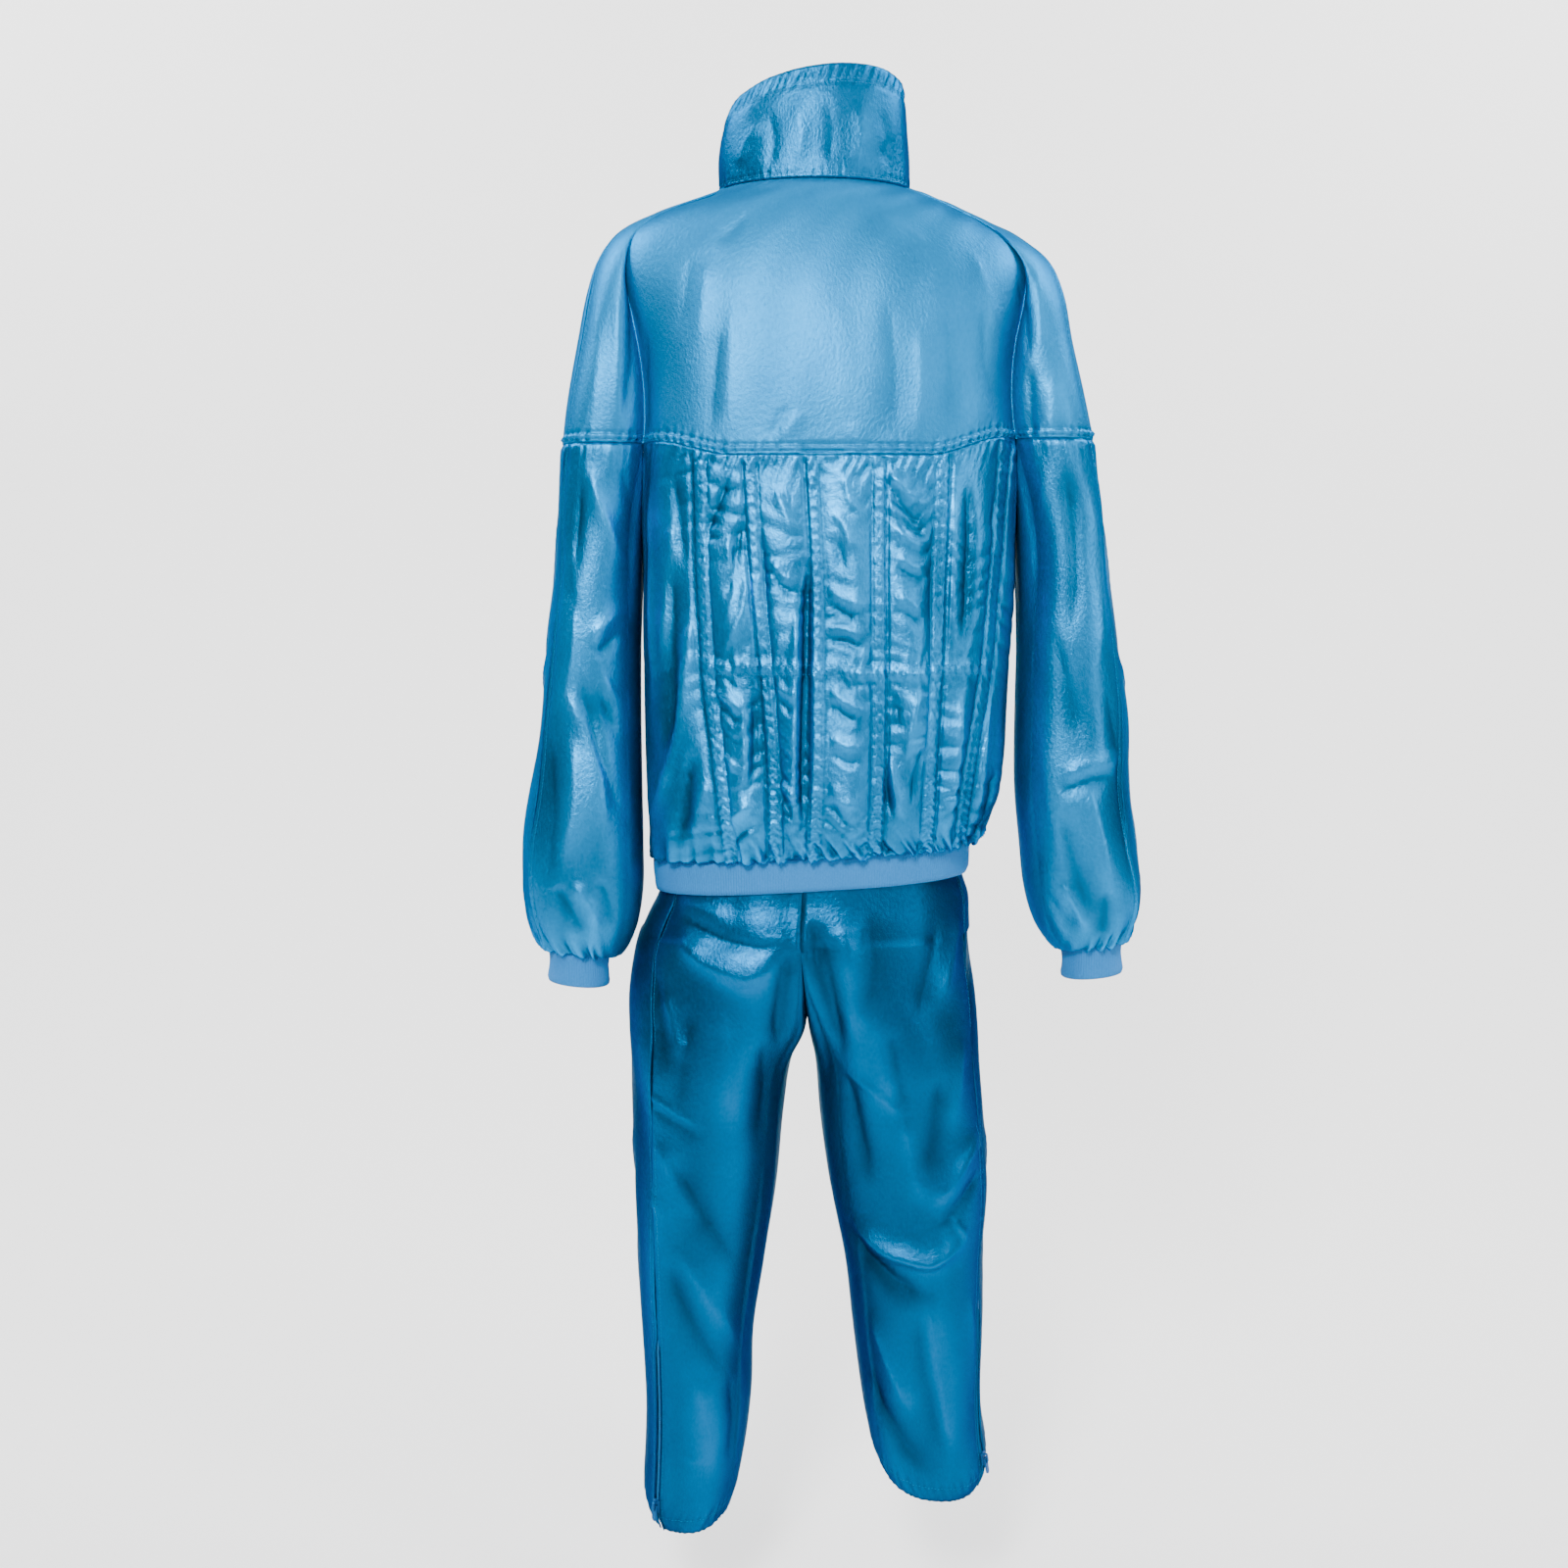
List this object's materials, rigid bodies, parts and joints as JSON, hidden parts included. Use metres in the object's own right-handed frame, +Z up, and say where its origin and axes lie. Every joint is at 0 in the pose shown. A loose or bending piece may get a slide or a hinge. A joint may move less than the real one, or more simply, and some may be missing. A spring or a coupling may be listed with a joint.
{
  "type": "tracksuit",
  "caption": "Women's shell tracksuit held as worn: zip jacket with funnel collar, back yoke, shirred tucks and rib trims, over straight trousers with ankle zips.",
  "frame": {"origin": "centre of the neck opening, level with the collar seam at the back, where the wearer or a form holds the garment up", "axes": "+Z up, +X to the wearer's left, -Y to the wearer's front, +Y to the back"},
  "size_m": [0.6048, 0.262, 1.4077],
  "materials": {
    "shell_cloth": "satin woven synthetic shell cloth",
    "rib_knit": "matte rib knit",
    "zip_tape": "woven tape with moulded teeth",
    "zip_metal": "lacquered, satin"
  },
  "bodies": {
    "suit": {"collar": "shell_cloth", "back_yoke": "shell_cloth", "back_body": "shell_cloth", "hem_rib": "rib_knit", "waistband": "shell_cloth", "front_zip": "zip_tape", "front_slider": "zip_metal", "front_yoke_left": "shell_cloth", "front_body_left": "shell_cloth", "sleeve_back_left": "shell_cloth", "sleeve_front_left": "shell_cloth", "leg_back_left": "shell_cloth", "leg_front_left": "shell_cloth", "cuff_left": "rib_knit", "ankle_zip_left": "zip_tape", "ankle_left_slider": "zip_metal", "front_yoke_right": "shell_cloth", "front_body_right": "shell_cloth", "sleeve_back_right": "shell_cloth", "sleeve_front_right": "shell_cloth", "leg_back_right": "shell_cloth", "leg_front_right": "shell_cloth", "cuff_right": "rib_knit", "ankle_zip_right": "zip_tape", "ankle_right_slider": "zip_metal"},
    "front_pull_tab": {"front_pull_tab": "zip_metal"},
    "ankle_left_pull_tab": {"ankle_left_pull_tab": "zip_metal"},
    "ankle_right_pull_tab": {"ankle_right_pull_tab": "zip_metal"}
  },
  "joints": [
    {"name": "front_pull_tab_swing", "type": "hinge", "parent": "suit", "child": "front_pull_tab", "pos_m": [-0.00212, -0.06351, 0.04871], "axis": [-0.9958, -0.0778, -0.0487], "range_deg": [0, 150]},
    {"name": "ankle_left_pull_tab_swing", "type": "hinge", "parent": "suit", "child": "ankle_left_pull_tab", "pos_m": [0.15371, 0.07535, -1.27351], "axis": [0.6759, -0.733, 0.0771], "range_deg": [0, 150]},
    {"name": "ankle_right_pull_tab_swing", "type": "hinge", "parent": "suit", "child": "ankle_right_pull_tab", "pos_m": [-0.17292, 0.05435, -1.23417], "axis": [0.3917, 0.9173, -0.0724], "range_deg": [0, 150]}
  ]
}
